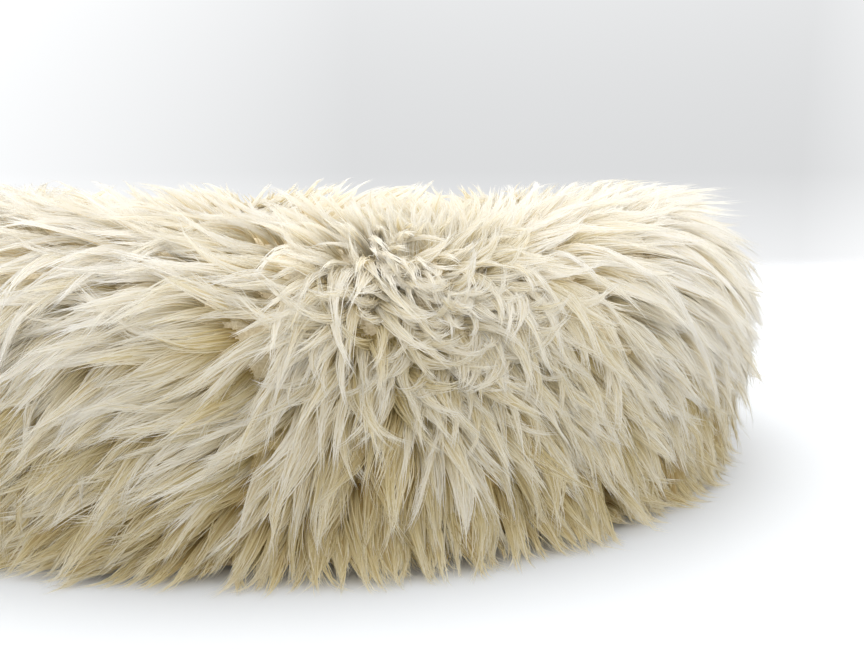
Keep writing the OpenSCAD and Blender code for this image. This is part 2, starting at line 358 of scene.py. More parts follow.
def settle(points):
    """Wool that would pass through the floor lies out along it, and the tallest is pressed down a little."""
    low = 1.4 * MM
    tall = bed_h + 5 * MM
    over = np.maximum(points[..., 2] - tall, 0)
    points[..., 2] = np.where(over > 0, tall + 9 * MM * (1 - np.exp(-over / (9 * MM))), points[..., 2])
    depth = np.maximum(low + 5 * MM - points[..., 2], 0)
    r = np.hypot(points[..., 0], points[..., 1])
    spread = 1 + 0.55 * np.maximum(low - points[..., 2], 0) / np.maximum(r, 0.05)
    rest = low + 5 * MM * np.exp(-depth / (5 * MM)) * (depth > 0)
    # on the right the wool is tucked in towards the floor
    rightward = np.clip((points[..., 0] - 0.1) / 0.25, 0, 1)
    tuck = 22 * MM * np.clip(1 - points[..., 2] / 0.1, 0, 1) ** 1.3 * rightward
    wide = np.maximum(r * spread - np.minimum(tuck, np.maximum(r - band_out - 22 * MM, 0)), 1e-4)
    most = bed_r + 23 * MM
    over = np.maximum(wide - most, 0)
    held = np.where(over > 0, most + 6 * MM * (1 - np.exp(-over / (6 * MM))), wide)
    spread = np.where(r > 0.1, held / np.maximum(r, 0.05), spread)
    points[..., 2] = np.where(depth > 0, rest, points[..., 2])
    points[..., 0] *= spread
    points[..., 1] *= spread
    return points


# how a lock is made: its body's rings and sides, then the number, rings and thickness of its wisps and hairs
FINE = {"rings": 9, "sides": 5, "wisps": 15, "wisp_rings": 7, "wisp": 0.42 * MM,
        "hairs": 9, "hair_rings": 5, "hair": 0.22 * MM}
PLAIN = {"rings": 7, "sides": 5, "wisps": 6, "wisp_rings": 5, "wisp": 0.8 * MM,
         "hairs": 2, "hair_rings": 4, "hair": 0.4 * MM}


def faces_of(kind):
    tube = lambda rings, sides: (rings - 1) * sides * 2 + sides * 2 - 2
    loose = kind["wisps"] * tube(kind["wisp_rings"], 3) + kind["hairs"] * tube(kind["hair_rings"], 3)
    return tube(kind["rings"], kind["sides"]) + loose


def flame(t):
    """How wide a lock is along its length: a belly, then a long thin point."""
    at = (0, 0.12, 0.3, 0.45, 0.6, 0.72, 0.84, 1.0)
    return np.interp(t, at, (0.8, 0.92, 1.0, 0.9, 0.62, 0.36, 0.15, 0.03))


def follow(guide, share, rings):
    """A shorter or longer strand along each guide: its middle line and its frame."""
    path, across, out, facing = guide
    last = path.shape[1] - 1
    t = np.linspace(0, 1, rings + 1)
    at = share[:, None] * t[None] * last
    low = np.clip(at.astype(int), 0, last - 1)
    part = (at - low)[..., None]
    rows = np.arange(len(path))[:, None]
    line_at = path[rows, low] * (1 - part) + path[rows, low + 1] * part
    return line_at, across[rows, low], out[rows, low], facing[rows, low]


def wool(rng, guide, width, tone, length, kind):
    """Each lock's body, wisps and loose hairs, as tube sets. Every array has one row per lock."""
    n = len(width)
    cells = math.ceil(math.sqrt(n))
    cell = np.arange(n)
    rings = kind["rings"]
    line_at, x_way, y_way, facing = follow(guide, np.full(n, 0.92), rings)
    t = np.linspace(0, 1, rings + 1)
    fat = flame(t)[None, :-1] * width[:, None] * 0.74
    thin = np.maximum(0.36 * fat, np.minimum(0.5 * MM, fat))
    sets = [tubes(settle(line_at), x_way[:, :-1] * fat[..., None], y_way[:, :-1] * thin[..., None], facing,
                  kind["sides"], (9, 2.5), 1, cell, cells, tone - 0.07, rng.uniform(0, 90, (n, 3)))]
    for i in range(kind["wisps"] + kind["hairs"]):
        loose = i >= kind["wisps"]
        rings, thick = (kind["hair_rings"], kind["hair"]) if loose else (kind["wisp_rings"], kind["wisp"])
        t = np.linspace(0, 1, rings + 1)[None]
        share = rng.uniform(0.62, 1.17, n) if loose else rng.uniform(0.6, 1.1, n)
        line_at, x_way, y_way, facing = follow(guide, share, rings)
        if loose:
            spot, high = rng.uniform(-1.3, 1.3, n), rng.uniform(-0.2, 0.9, n)
        else:
            spot = ((i + 0.5) / kind["wisps"] * 2 - 1 + rng.normal(0, 0.12, n)) * 0.95
            high = 0.36 * np.sqrt(np.maximum(1 - spot**2, 0)) + rng.uniform(-0.08, 0.26, n)
        fork = rng.normal(0, 0.42 if loose else 0.22, (n, 2)) * (0.6 * width + 0.06 * length)[:, None]
        gather = flame(t * share[:, None]) * width[:, None]
        sway = rng.uniform(0, TAU, (n, 2))
        wave = (1.1 if loose else 0.75) * MM * t
        x = spot[:, None] * gather + fork[:, 0:1] * t**2.2 + wave * np.sin(t * 9 + sway[:, 0:1])
        y = high[:, None] * gather + 0.5 * fork[:, 1:2] * t**2.2 + wave * np.sin(t * 7 + sway[:, 1:2])
        centre = settle(line_at + x_way * x[..., None] + y_way * y[..., None])
        taper = (0.6 + 0.4 * np.sin(np.clip(t / 0.4, 0, 1) * math.pi / 2)) * (1 - t**2.2) ** 0.9
        size = rng.uniform(0.75, 1.3, n)[:, None] * taper[:, :-1] * thick
        across = x_way[:, :-1] * ((1.0 if loose else 1.6) * size)[..., None]
        out = y_way[:, :-1] * size[..., None]
        own_tone = tone + rng.normal(0.03, 0.04, n)
        offset = rng.uniform(0, 90, (n, 3))
        sets.append(tubes(centre, across, out, facing, 3, (1.4, 2.5), 0, cell, cells, own_tone, offset))
    return joined(sets)


MOST_FACES = 195000                                       # in one piece of wool


def grow(name, rng, guide, width, tone, length, fine, body, replaced):
    """Pieces of wool, split so that none has more than MOST_FACES faces."""
    made = []
    order = np.arctan2(guide[0][:, 0, 1], guide[0][:, 0, 0] + 1e-9)
    order = (order - order[0] + math.pi) % TAU
    for label, chosen, kind in (("fine", fine, FINE), ("plain", ~fine, PLAIN)):
        rows = np.flatnonzero(chosen)
        rows = rows[np.argsort(order[rows])]
        pieces = max(1, math.ceil(len(rows) * faces_of(kind) / MOST_FACES))
        for k, part in enumerate(np.array_split(rows, pieces)):
            if not len(part):
                continue
            made_name = f"{name}_{label}_{k + 1}"
            rows_of = [g[part] for g in guide]
            mesh = mesh_from(made_name, *wool(rng, rows_of, width[part], tone[part], length[part], kind))
            made.append(add_piece(made_name, mesh, wool_look, body, replaced))
    return made


def grid_spots(rng, low, high, spacing, width_at):
    """Jittered spots on a strip: rows down s, and along each row as many as fit."""
    spots = []
    rows = max(1, round((high[1] - low[1]) / spacing))
    for i in range(rows):
        s = low[1] + (i + 0.5) / rows * (high[1] - low[1])
        count = max(1, round((high[0] - low[0]) * width_at(s) / spacing))
        a = low[0] + (np.arange(count) + 0.5 + 0.5 * (i % 2) - 0.25) / count * (high[0] - low[0])
        jitter = rng.uniform(-0.4, 0.4, (count, 2))
        spots.append(np.stack([a + jitter[:, 0] * spacing / width_at(s), s + jitter[:, 1] * spacing], -1))
    return np.concatenate(spots)


# the crowns that the wool of the ring is combed away from: (angle in degrees, s, strength)
CROWNS = ((282, 62 * MM, 1.0), (40, 30 * MM, 0.7), (100, 25 * MM, 0.8), (155, 50 * MM, 0.7))
PARTING = 40 * MM                                         # the locks part this far above a crown


def parting_near(place):
    """1 at the middle of a parting, 0 away from it."""
    near = np.zeros(len(place))
    for az, s, strength in CROWNS:
        middle = ring_place(np.array([[math.radians(az), s - PARTING]]))[0]
        near = np.maximum(near, np.exp(-((np.linalg.norm(place - middle, axis=1) / 0.026) ** 2)))
    return near


def ring_way(q):
    """Which way the wool lies at q, as a unit (round, down) pair, and how near the nearest crown is."""
    place, _, round_way, down_way = ring_place(q)
    total = np.zeros((len(q), 2))
    near = np.full(len(q), 1.0)
    for az, s, strength in CROWNS:
        crown = ring_place(np.array([[math.radians(az), s]]))[0]
        away = place - crown
        flat = np.stack([(away * round_way).sum(1), (away * down_way).sum(1)], -1)
        dist = np.linalg.norm(away, axis=1)
        size = np.maximum(np.linalg.norm(flat, axis=1), 1e-6)
        total += strength * flat / size[:, None] / (1 + (dist / 0.25) ** 2)[:, None]
        near = np.minimum(near, np.hypot(0.6 * flat[:, 0], flat[:, 1]) + 0.1 * dist)
    fall = -down_way[:, 2]
    total[:, 1] += 0.11 * fall
    turn = 0.26 * ripple(place, 0.11, 11) + 0.16 * ripple(place, 0.04, 12)
    total = turned(total, turn)
    return total / np.maximum(np.linalg.norm(total, axis=1), 1e-6)[:, None], near


def tuft_pull(rng, q, low, high, width_at, spacing, strength):
    """Neighbouring locks draw together towards the middle of their tuft."""
    middles = grid_spots(rng, low, high, spacing, width_at)
    scale = np.stack([np.vectorize(width_at)(q[:, 1]), np.ones(len(q))], -1)
    gap = (middles[None] - q[:, None]) * scale[:, None]
    nearest = np.linalg.norm(gap, axis=2).argmin(1)
    return gap[np.arange(len(q)), nearest] * strength


def ring_radius(s):
    return float(ring_outline.at(s)[0])


def crown_spots(rng, low, high):
    """More, shorter locks round each crown, where the others part."""
    spots = []
    for az, s, strength in CROWNS:
        for locks, most, stretch, middle in ((260, 48 * MM, 1.5, s), (90, 27 * MM, 1.3, s - PARTING)):
            locks = round(locks * strength)
            reach, turn = np.sqrt(rng.uniform(0, 1, locks)) * most, rng.uniform(0, TAU, locks)
            a = math.radians(az) + stretch * reach * np.cos(turn) / ring_radius(s)
            spots.append(np.stack([a, middle + reach * np.sin(turn)], -1))
    spots = np.concatenate(spots)
    spots[:, 0] = (spots[:, 0] - low[0]) % TAU + low[0]
    return spots[(spots[:, 0] < high[0]) & (spots[:, 1] > low[1]) & (spots[:, 1] < high[1])]


def ring_wool(name, az, low_s, high_s, seed, spacing, replaced):
    rng = np.random.default_rng(seed)
    low, high = (math.radians(az - 45), low_s), (math.radians(az + 45), high_s)
    q = np.concatenate([grid_spots(rng, low, high, spacing, ring_radius), crown_spots(rng, low, high)])
    place, _, _, down = ring_place(q)
    way, near = ring_way(q)
    crown = np.exp(-((near / 0.05) ** 2))
    n = len(q)
    wall = np.clip(-down[:, 2], 0, 1)                       # 1 on the upright sides, 0 on the crest
    length = 67 * MM * (1 + 0.1 * ripple(place, 0.12, 21)) * rng.uniform(0.85, 1.12, n) * (1 - 0.45 * crown)
    parting = parting_near(place)
    clumps = (1 - wall) * ripple(place, 0.08, 51)
    length *= (1 + 0.1 * np.clip(place[:, 0] / 0.35, 0, 1)) * (1 - 0.25 * parting)
    lean = np.stack([
        np.radians(rng.uniform(5, 25, n)),
        np.radians(65 - 12 * clumps + 7 * wall - 22 * crown - 14 * parting + rng.normal(0, 7, n)),
        np.radians(46 - 10 * clumps + 24 * wall + 20 * parting + rng.normal(0, 14, n)),
    ], -1)
    # the lowest locks are shorter and stand out more, so that they end on the floor, or above the zip
    hanging = az != 90
    room = ((outer_length if hanging else high_s) - q[:, 1]) / np.maximum(way[:, 1], 0.3)
    length = np.minimum(length, np.maximum(room * 1.1, 0) + (24 if hanging else 12) * MM)
    most = np.arcsin(np.clip(room / (0.8 * length), 0.35 if hanging else 0.1, 1))
    lean[:, 1] = np.minimum(lean[:, 1], most)
    lean[:, 2] = np.minimum(lean[:, 2], lean[:, 1] + 0.15)
    # at a crown the locks hang down in curls
    way = way * (1 - 0.85 * crown[:, None])
    way[:, 1] += 0.85 * crown * (0.3 + 0.7 * wall)
    way /= np.maximum(np.linalg.norm(way, axis=1), 1e-6)[:, None]
    turn = np.maximum(0.6 * crown, 1.2 * parting) * rng.normal(0, 1, n)
    way = turned(way, turn)
    curl = np.clip(rng.normal(0, 0.42, n), -0.9, 0.9)
    curl = curl + crown * rng.choice([-1, 1], n) * rng.uniform(0.7, 2.4, n)
    tuft = tuft_pull(rng, q, low, high, ring_radius, 0.038, 0.32)
    width = 5.7 * MM * np.exp(rng.normal(0, 0.3, n)) * (1 - 0.35 * crown)
    # the tone is lower low down: partly the ochre of the lower wool, partly painted shade for the light from
    # above; it is lower near the crowns too
    painted_low_shade = np.clip(1 - place[:, 2] / 0.17, 0, 1)
    tone = 0.9 - 1.05 * painted_low_shade + 0.14 * ripple(place, 0.08, 31) + rng.normal(0, 0.09, n)
    tone = np.clip(tone - 0.36 * np.exp(-((near / 0.065) ** 2)), -0.1, 1)
    guide = lock_guides(ring_place, ring_step, q, way, length, lean, curl, tuft, GUIDE_RINGS)
    x, y = place[:, 0], place[:, 1]
    fine = (q[:, 1] > -20 * MM) & (y < 0.1 * (x > 0) - 0.12 * (x < 0))
    return grow(name, rng, guide, width, tone, length, fine, "nest", replaced)


def hide_shell(name, az, low_s, high_s):
    """The hide with the dense underwool that the locks grow through, as one closed sheet."""
    step = 4 * MM
    across = max(8, round(math.radians(90) * bed_r / step))
    down = max(4, round((high_s - low_s) / step))
    a = np.radians(np.linspace(az - 45, az + 45, across + 1))
    s_at = np.linspace(low_s, high_s, down + 1)
    q = np.stack(np.meshgrid(a, s_at, indexing="ij"), -1)
    place, normal, _, _ = ring_place(q)
    pile = (6.5 + 2 * ripple(place, 0.03, 5) + 1.2 * ripple(place, 0.012, 6)) * MM
    edge = np.minimum(np.minimum(np.arange(down + 1), np.arange(down + 1)[::-1]) / 2, 1)[None]
    top = place + normal * (2 * MM + pile * edge)[..., None]
    points = np.concatenate([top.reshape(-1, 3), place.reshape(-1, 3)])
    index = np.arange((across + 1) * (down + 1)).reshape(across + 1, down + 1)
    quads = [np.stack([index[:-1, :-1], index[:-1, 1:], index[1:, 1:], index[1:, :-1]], -1).reshape(-1, 4)]
    quads.append(quads[0][:, ::-1] + index.size)
    border = np.concatenate([index[:-1, 0], index[-1, :-1], index[:0:-1, -1], index[0, :0:-1]])
    after = np.roll(border, -1)
    quads.append(np.stack([border, after, after + index.size, border + index.size], -1))
    quads = np.concatenate(quads)
    return mesh_from(name, points, quads.ravel(), np.full(len(quads), 4))


CUSHION_CROWN = np.array([-0.03, 0.04])


def cushion_way(q):
    """The cushion's wool lies outwards and a little round from a crown off its middle."""
    away = q - CUSHION_CROWN
    turn = 0.5 + 0.35 * ripple(cushion_place(q)[0], 0.1, 41) + 0.2 * ripple(cushion_place(q)[0], 0.045, 42)
    near = np.linalg.norm(away, axis=1)
    away /= np.maximum(near, 1e-6)[:, None]
    return turned(away, turn), near


def cushion_wool(seed, spacing, height_of):
    rng = np.random.default_rng(seed)
    reach = cushion_outline.s[-1] - 4 * MM
    side = np.arange(-reach, reach, spacing)
    q = np.stack(np.meshgrid(side, side), -1).reshape(-1, 2)
    q = q + rng.uniform(-0.4, 0.4, q.shape) * spacing
    dist = np.linalg.norm(q, axis=1)
    q = q[dist < reach]
    # more locks at the crown, lying all ways
    apart = np.sqrt(rng.uniform(0, 1, 70)) * 32 * MM
    turn = rng.uniform(0, TAU, 70)
    q = np.concatenate([q, CUSHION_CROWN + np.stack([apart * np.cos(turn), apart * np.sin(turn)], -1)])
    dist = np.linalg.norm(q, axis=1)
    n = len(q)
    place = cushion_place(q)[0]
    way, near = cushion_way(q)
    turn = 1.5 * np.exp(-((near / 0.03) ** 2)) * rng.normal(0, 1, n)
    way = turned(way, turn)
    crown = np.exp(-((near / 0.04) ** 2))
    length = 50 * MM * rng.uniform(0.85, 1.12, n) * (1 - 0.3 * crown)
    room = np.clip((cushion_outline.s[-1] + 12 * MM - dist) / length, 0.35, 1)
    lean = [rng.uniform(8, 28, n), 70 - 20 * crown + rng.normal(0, 6, n), 58 + rng.normal(0, 12, n)]
    lean = np.radians(np.stack(lean, -1))
    lean[:, 1] = np.minimum(lean[:, 1], np.arcsin(room) + 0.35)
    curl = rng.normal(0, 0.35, n) + crown * rng.choice([-1, 1], n) * rng.uniform(0.4, 1.5, n)
    tuft = rng.normal(0, 3 * MM, (n, 2))
    width = 6.2 * MM * np.exp(rng.normal(0, 0.25, n))
    tone = np.clip(0.85 + 0.12 * ripple(place, 0.08, 43) + rng.normal(0, 0.1, n), 0, 1)
    guide = lock_guides(cushion_place, cushion_step, q, way, length, lean, curl, tuft, GUIDE_RINGS)
    guide[0][..., 2] += height_of(q)[:, None]
    fine = np.zeros(n, bool)
    return grow("wool_cushion", rng, guide, width, tone, length, fine, "cushion", "cushion_top_panel")


# ---------------------------------------------------------------- materials
class Graph:
    """The nodes of a material or of the world."""

    def __init__(self, tree):
        self.nodes, self.links = tree.nodes, tree.links

    def add(self, kind, inputs=None, **settings):
        """A node, with its settings, and its inputs as constants or as links from other sockets."""
        node = self.nodes.new("ShaderNode" + kind)
        for key, value in settings.items():
            setattr(node, key, value)
        for key, value in (inputs or {}).items():
            self.feed(node.inputs[key], value)
        return node

    def feed(self, socket, value):
        if isinstance(value, bpy.types.NodeSocket):
            self.links.new(value, socket)
        else:
            socket.default_value = value

    def maths(self, operation, *values):
        return self.add("Math", dict(enumerate(values)), operation=operation).outputs[0]

    def attribute(self, name, output="Fac"):
        return self.add("Attribute", attribute_name=name).outputs[output]

    def place(self, output="Object"):
        """Where the shaded point is, as one vector and as its three parts."""
        where = self.add("TexCoord").outputs[output]
        return where, self.add("SeparateXYZ", {0: where}).outputs

    def noise(self, where, scale, detail):
        return self.add("TexNoise", {"Vector": where, "Scale": scale, "Detail": detail}).outputs["Fac"]

    def ramp(self, value, *stops):
        node = self.add("ValToRGB", {0: value})
        elements = node.color_ramp.elements
        while len(elements) < len(stops):
            elements.new(0.5)
        for element, (at, colour) in zip(elements, stops):
            element.position, element.color = at, (*colour, 1)
        return node.outputs[0]

    def tint(self, colour, by):
        inputs = {0: 1, 6: colour, 7: by}
        return self.add("Mix", inputs, data_type="RGBA", blend_type="MULTIPLY").outputs[2]

    def bump(self, height, distance, **more):
        return self.add("Bump", {"Height": height, "Distance": distance, **more}).outputs["Normal"]

    def blend(self, share, first, second):
        return self.add("MixShader", {0: share, 1: first, 2: second}).outputs[0]


class Look(Graph):
    """A material with a principled shader."""

    def __init__(self, name, roughness, **extra):
        self.material = bpy.data.materials.new(name)
        self.material.use_nodes = True
        super().__init__(self.material.node_tree)
        self.shader = self.nodes["Principled BSDF"]
        self.set(Roughness=roughness, **extra)

    def set(self, **values):
        for key, value in values.items():
            self.feed(self.shader.inputs[key.replace("_", " ")], value)

    def surface(self, shader):
        self.links.new(shader, self.nodes["Material Output"].inputs["Surface"])


def wool_material():
    look = Look("wool", 0.7, Specular_IOR_Level=0.25)
    along, tone = look.attribute("along"), look.attribute("tone")
    # darker and ochre towards the root: partly the wool's own root colour, partly painted shade deep in the
    # fleece
    body = look.ramp(along, (0.0, (0.58, 0.44, 0.22)), (0.25, (0.84, 0.77, 0.59)),
                     (0.5, (0.95, 0.92, 0.855)), (1.0, (0.98, 0.97, 0.945)))
    # each lock's own tone, and painted shade: darker and more ochre where the tone is low, low down on the
    # bolster
    painted_shade_and_tone = look.ramp(tone, (0.0, (0.43, 0.32, 0.135)), (0.4, (0.74, 0.65, 0.405)),
                      (0.72, (0.95, 0.923, 0.835)), (1.0, (1.0, 1.0, 0.995)))
    # painted shade: a lock's edges take the ochre of the shaded gaps between locks, most of all near its root
    rim = look.maths("ABSOLUTE", look.attribute("rim"))
    edge_range = {"Value": rim, "From Min": 0.35, "From Max": 0.95}
    edge = look.add("MapRange", edge_range, interpolation_type="SMOOTHSTEP").outputs[0]
    root_range = {"Value": along, "From Min": 0.85, "From Max": 0.4, "To Max": 0.75}
    near_root = look.add("MapRange", root_range).outputs[0]
    painted_gap_shade = {0: look.maths("MULTIPLY", edge, near_root), 6: look.tint(body, painted_shade_and_tone), 7: (0.74, 0.60, 0.35, 1)}
    colour = look.add("Mix", painted_gap_shade, data_type="RGBA").outputs[2]
    # on the walls the hide's own normal softens the strands, on the crest their own normals count more
    lay = look.attribute("lay", "Vector")
    spaces = {"vector_type": "NORMAL", "convert_from": "OBJECT", "convert_to": "WORLD"}
    of_hide = look.add("VectorTransform", {0: lay}, **spaces).outputs[0]
    up = look.add("SeparateXYZ", {0: lay}).outputs["Z"]
    weight = look.maths("MULTIPLY_ADD", look.maths("MULTIPLY", up, up), -0.45, 0.68)
    of_strand = look.add("NewGeometry").outputs["Normal"]
    soft = look.add("Mix", {0: weight, 4: of_strand, 5: of_hide}, data_type="VECTOR").outputs[1]
    normal = look.add("VectorMath", {0: soft}, operation="NORMALIZE").outputs[0]
    fibres = look.noise(look.attribute("streak", "Vector"), 1.0, 2.0)
    look.set(Base_Color=colour, Normal=look.bump(fibres, 0.0006, Strength=0.13, Normal=normal))
    # light finds its way between the fibres, so other rays than the camera's mostly pass
    shader = look.shader.outputs[0]
    fleece = look.blend(0.46, shader, look.add("BsdfTranslucent", {"Color": colour}).outputs[0])
    airy = look.blend(0.93, shader, look.add("BsdfTransparent", {0: (1.0, 0.975, 0.92, 1)}).outputs[0])
    look.surface(look.blend(look.add("LightPath").outputs["Is Camera Ray"], airy, fleece))
    return look.material


def underwool_material():
    look = Look("underwool", 0.9, Specular_IOR_Level=0.1)
    where, parts = look.place()
    noise = look.noise(where, 620, 4.0)
    colour = look.ramp(noise, (0.3, (0.64, 0.55, 0.39)), (0.7, (0.85, 0.79, 0.66)))
    # painted shade: it is darker low down, as the locks are, where less light from above reaches
    height = look.add("MapRange", {"Value": parts["Z"], "From Max": 0.17}).outputs[0]
    painted_shade_and_tone = look.ramp(height, (0.0, (0.42, 0.315, 0.145)), (0.5, (0.73, 0.655, 0.43)), (1.0, (1.0, 1.0, 1.0)))
    look.set(Base_Color=look.tint(colour, painted_shade_and_tone), Normal=look.bump(noise, 0.0005))
    return look.material


def spotted(name, low, high, scale, roughness, bump_height=0.0003, **extra):
    """A material whose colour and surface follow one noise."""
    look = Look(name, roughness, **extra)
    noise = look.noise(look.place()[0], scale, 5.0)
    look.set(Base_Color=look.ramp(noise, (0.3, low), (0.7, high)), Normal=look.bump(noise, bump_height))
    return look.material


def woven(name, low, high, thread, round_the_bed=True, twill=False):
    """Cloth: crossing threads by height and by the angle round the bed, or by x and y on flat pieces."""
    look = Look(name, 0.85, Specular_IOR_Level=0.2)
    maths = look.maths
    where, parts = look.place()
    if round_the_bed:
        along = maths("MULTIPLY", maths("ARCTAN2", parts["Y"], parts["X"]), 0.357)
        across = parts["Z"]
    else:
        along, across = parts["X"], parts["Y"]
    beat = math.pi / thread
    if twill:
        slant = maths("ADD", along, maths("PINGPONG", across, 2.4 * MM))
        wave = maths("SINE", maths("MULTIPLY", slant, beat))
    else:
        wave = maths("MULTIPLY", *[maths("SINE", maths("MULTIPLY", way, beat)) for way in (along, across)])
    height = maths("MULTIPLY_ADD", wave, 0.5, 0.5)
    mottle = maths("MULTIPLY", look.noise(where, 180, 4.0), 0.5)
    colour = look.ramp(maths("MULTIPLY_ADD", height, 0.5, mottle), (0.1, low), (0.9, high))
    look.set(Base_Color=colour, Normal=look.bump(height, thread * 0.4, Strength=0.7))
    return look.material


# ---------------------------------------------------------------- other cloth pieces
def closed_grid(name, outer, inner, closed=False):
    """A thin closed piece between two grids of points, (n, m, 3); closed if the first way goes round."""
    n, m = outer.shape[:2]
    points = np.concatenate([outer.reshape(-1, 3), inner.reshape(-1, 3)])
    index = np.arange(n * m).reshape(n, m)
    if closed:
        index = np.concatenate([index, index[:1]])
    face = np.stack([index[:-1, :-1], index[:-1, 1:], index[1:, 1:], index[1:, :-1]], -1).reshape(-1, 4)
    quads = [face, face[:, ::-1] + n * m]
    if closed:
        borders = [index[::-1, 0], index[:, -1]]
    else:
        borders = [np.concatenate([index[::-1, 0], index[0, 1:], index[1:, -1], index[-1, -2::-1]])]
    for border in borders:
        a, b = border[:-1], border[1:]
        quads.append(np.stack([a, b, b + n * m, a + n * m], -1))
    quads = np.concatenate(quads)
    return mesh_from(name, points, quads.ravel(), np.full(len(quads), 4))


def cloth_band(node, low_az, high_az, wave):
    """The canvas that stands round the base, a little uneven, in place of its CAD node."""
    low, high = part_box(node)
    radius = band_out - 0.8 * MM
    a = np.radians(np.linspace(low_az, high_az, round((high_az - low_az) / 360 * TAU * radius / (2.5 * MM))))
    z = np.linspace(low.z, high.z, max(3, round((high.z - low.z) / (1.6 * MM))))
    aa, zz = np.meshgrid(a, z, indexing="ij")
    spot = polar(radius, aa, zz)
    ease = wave * ripple(spot, 0.028, 71) + 0.4 * wave * ripple(spot, 0.009, 72)
    shells = [polar(radius + ease + half, aa, zz) for half in (0.75 * MM, -0.75 * MM)]
    mesh = closed_grid(f"cloth_{node}", *shells)
    piece = add_piece(mesh.name, mesh, canvas, "nest", node)


def stitches(name, path, length, pitch, thick):
    """A row of stitches along a path of points, each one a small rounded bar."""
    steps = np.concatenate([[0], np.cumsum(np.linalg.norm(np.diff(path, axis=0), axis=1))])
    at = np.arange(pitch / 2, steps[-1] - length / 2, pitch)
    offsets = (-length / 2, 0, length / 2)
    ends = [np.stack([np.interp(at + k, steps, path[:, i]) for i in range(3)], -1) for k in offsets]
    along = unit(ends[2] - ends[0])
    outward = unit(ends[1] * (1, 1, 0))
    up = np.cross(along, outward)
    sides = 6
    turn = np.arange(sides) * TAU / sides
    rings = []
    for k, size in ((-0.5, 0.35), (-0.4, 0.85), (0.0, 1.0), (0.4, 0.85), (0.5, 0.35)):
        middle = ends[1] + along * (k * length)
        spokes = outward[:, None] * np.cos(turn)[:, None] + up[:, None] * np.sin(turn)[:, None]
        rings.append(middle[:, None] + size * thick / 2 * spokes)
    points = np.stack(rings, 1).reshape(-1, 3)
    loops, sizes = capped_tube(5, sides)
    loops = (loops[None] + 5 * sides * np.arange(len(at))[:, None]).ravel()
    add_piece(name, mesh_from(name, points, loops, np.tile(sizes, len(at))), thread, "nest")


def ring_path(radius, z, low_az, high_az, count=400):
    a = np.radians(np.linspace(low_az, high_az, count))
    return polar(radius, a, np.full(count, z))


def piping(node, body, seed):
    """Piping: a cord in a folded strip, a little uneven, in place of its CAD sleeve."""
    low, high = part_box(node)
    radius, middle = (high.z - low.z) / 2, (high.z + low.z) / 2
    centre = high.x - radius
    a = np.linspace(0, TAU, round(TAU * centre / (3 * MM)), endpoint=False)
    turn = np.linspace(0, TAU, 14, endpoint=False)
    aa, tt = np.meshgrid(a, turn, indexing="ij")
    spot = polar(centre, aa, middle + radius * np.sin(tt))
    size = radius * (0.97 + 0.03 * ripple(spot, 0.014, seed))
    r = centre + size * np.cos(tt)
    points = polar(r, aa, middle + size * np.sin(tt)).reshape(-1, 3)
    index = np.arange(len(points)).reshape(aa.shape)
    nxt, side = np.roll(index, -1, 0), np.roll(index, -1, 1)
    quads = np.stack([index, nxt, np.roll(nxt, -1, 1), side], -1).reshape(-1, 4)
    mesh = mesh_from(f"piping_{node}", points, quads.ravel(), np.full(len(quads), 4))
    add_piece(mesh.name, mesh, piped, body, node)


def coil(node):
    """The turned nylon of one side of the zip, in place of its CAD strip."""
    low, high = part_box(node)
    deep, thick, pitch = 1.1 * MM, 0.32 * MM, 1.5 * MM        # half the coil, half its thread, one turn
    middle = (low.z + high.z) / 2
    radius = band_out + 0.5 * MM - 1.1 * MM
    sides = 5
    span = math.radians(zip_sweep - 1.2)
    turns = round(span * radius / pitch)
    count = turns * 8
    t = np.linspace(0, 1, count + 1)
    az = math.pi / 2 - span / 2 + span * t
    wind = TAU * turns * t
    path = polar(radius + (deep - thick) * np.cos(wind), az, middle + (deep - thick) * np.sin(wind))
    along = unit(np.gradient(path, axis=0))
    x = unit(np.cross(along, (0, 0, 1.0)))
    y = np.cross(along, x)
    turn = np.arange(sides) * TAU / sides
    ring = path[:, None] + thick * (x[:, None] * np.cos(turn)[:, None] + y[:, None] * np.sin(turn)[:, None])
    points = ring.reshape(-1, 3)
    mesh = mesh_from(f"turns_{node}", points, *capped_tube(count + 1, sides))
    add_piece(mesh.name, mesh, nylon, "nest", node)


# ---------------------------------------------------------------- the filled cushion
def puffed(node, name, voxel, pressure, most):
    """A closed cloth case in place of a padded CAD piece, blown up a little by a cloth simulation."""
    scene = bpy.context.scene
    case = link(name, bpy.data.objects[node].data.copy())
    remesh = case.modifiers.new("even", "REMESH")
    remesh.mode, remesh.voxel_size = "VOXEL", voxel
    even = bpy.data.meshes.new_from_object(case.evaluated_get(bpy.context.evaluated_depsgraph_get()))
    case.modifiers.clear()
    case.data = even
    start = np.empty(len(even.vertices) * 3, np.float32)
    even.vertices.foreach_get("co", start)
    cloth = case.modifiers.new("filling", "CLOTH")
    cloth.settings.quality = 5
    cloth.settings.mass = 0.25
    cloth.settings.tension_stiffness = cloth.settings.compression_stiffness = 25
    cloth.settings.bending_stiffness = 0.4
    cloth.settings.use_pressure = True
    cloth.settings.uniform_pressure_force = pressure
    cloth.settings.effector_weights.gravity = 0
    cloth.collision_settings.use_collision = False
    for f in range(1, 21):
        scene.frame_set(f)
    blown = bpy.data.meshes.new_from_object(case.evaluated_get(bpy.context.evaluated_depsgraph_get()))
    end = np.empty(len(start), np.float32)
    blown.vertices.foreach_get("co", end)
    scene.frame_set(1)
    case.modifiers.clear()
    move = (end - start).reshape(-1, 3)
    size = np.linalg.norm(move, axis=1)
    mean, largest, stopped = size.mean() / MM, size.max() / MM, (size > most).mean() * 100
    print(f"{name} moved {mean:.2f} mm on average, {largest:.2f} at most; {stopped:.1f} % was stopped")
    # no point may move further than most; the pressure is low enough that none tries to
    move *= np.minimum(1, most / np.maximum(size, 1e-9))[:, None]
    even.vertices.foreach_set("co", (start.reshape(-1, 3) + move).astype(np.float32).ravel())
    even.update()
    return case


